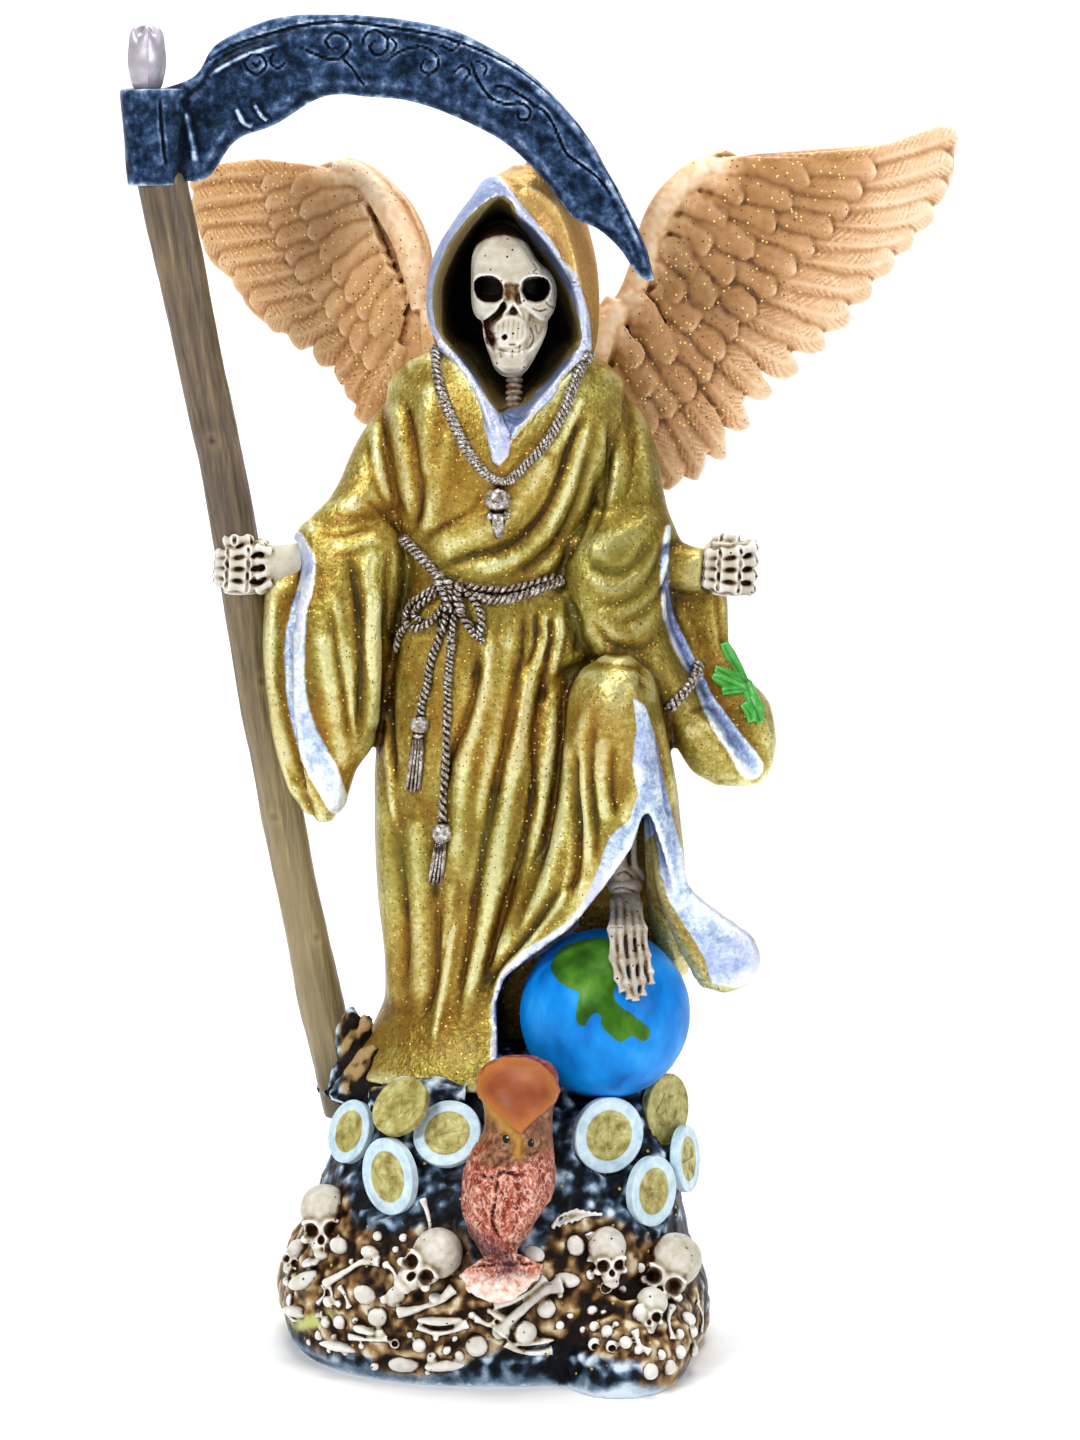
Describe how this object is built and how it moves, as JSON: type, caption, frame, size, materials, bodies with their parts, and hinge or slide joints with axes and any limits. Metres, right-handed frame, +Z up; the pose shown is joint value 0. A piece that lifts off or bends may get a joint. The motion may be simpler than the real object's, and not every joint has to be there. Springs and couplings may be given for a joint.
{
  "type": "santa muerte figure",
  "caption": "Winged, hooded skeleton figurine in painted resin, with a scythe and a bare foot on a globe, on a rock mound with coins, skulls, bones and an owl.",
  "frame": {"origin": "on the flat underside of the mound, below the middle of the figure's robe", "axes": "+Z up, -Y the way the figure's front looks, +X to the viewer's right from the front, which is the figure's left hand"},
  "size_m": [0.1893, 0.118, 0.2981],
  "materials": {
    "robe_gold": "metallic gold paint over cast resin, olive in the light and brown in the folds, with gold glitter",
    "trim_silver": "pale silver-lilac metallic paint on the hems, lapels and hood rim",
    "bone_ivory": "ivory paint with a brown wash in the hollows",
    "wing_peach": "peach paint with gold glitter",
    "blade_black": "gloss blue-black paint, dry-brushed light on raised edges",
    "staff_wood": "grey-brown painted wood grain",
    "globe_blue": "gloss blue paint with green land",
    "rock_black": "gloss black paint, dry-brushed pale blue, with glitter",
    "owl_russet": "russet and orange paint, brushed dark and pale",
    "coin_brass": "brass-coloured paint with pale rings",
    "cord_silver": "silver paint with a dark wash in the twist",
    "leaf_green": "green paint"
  },
  "bodies": {
    "root": {"figure": "robe_gold", "wing_right": "wing_peach", "wing_left": "wing_peach"}
  },
  "joints": []
}
